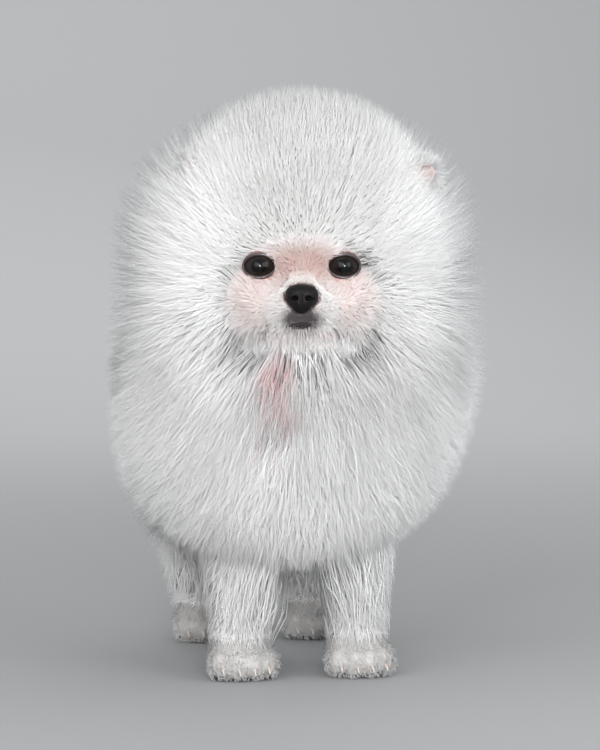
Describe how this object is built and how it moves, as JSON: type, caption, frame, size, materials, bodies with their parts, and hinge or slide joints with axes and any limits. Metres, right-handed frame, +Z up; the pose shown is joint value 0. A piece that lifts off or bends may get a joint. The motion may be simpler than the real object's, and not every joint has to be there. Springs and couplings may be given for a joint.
{
  "type": "pomeranian puppy",
  "caption": "Life-size still model of a small spitz puppy with a round stand-off white coat, standing on four legs.",
  "frame": {"origin": "on the floor, under the middle of the box round the animal", "axes": "+Z up, the animal faces -Y and its left side is +X"},
  "size_m": [0.177, 0.2428, 0.2787],
  "materials": {
    "coat": "soft white fur",
    "ear_skin": "pale pink skin with thin fur",
    "eye": "wet dark gloss",
    "nose_leather": "fine grained black"
  },
  "bodies": {
    "root": {"head": "coat", "nose": "nose_leather", "ear_left": "ear_skin", "ear_right": "ear_skin", "eye_left": "eye", "eye_right": "eye", "neck": "coat", "torso": "coat", "tail": "coat", "foreleg_left": "coat", "foreleg_right": "coat", "hindleg_left": "coat", "hindleg_right": "coat", "forefoot_left": "coat", "forefoot_right": "coat", "hindfoot_left": "coat", "hindfoot_right": "coat"}
  },
  "joints": []
}
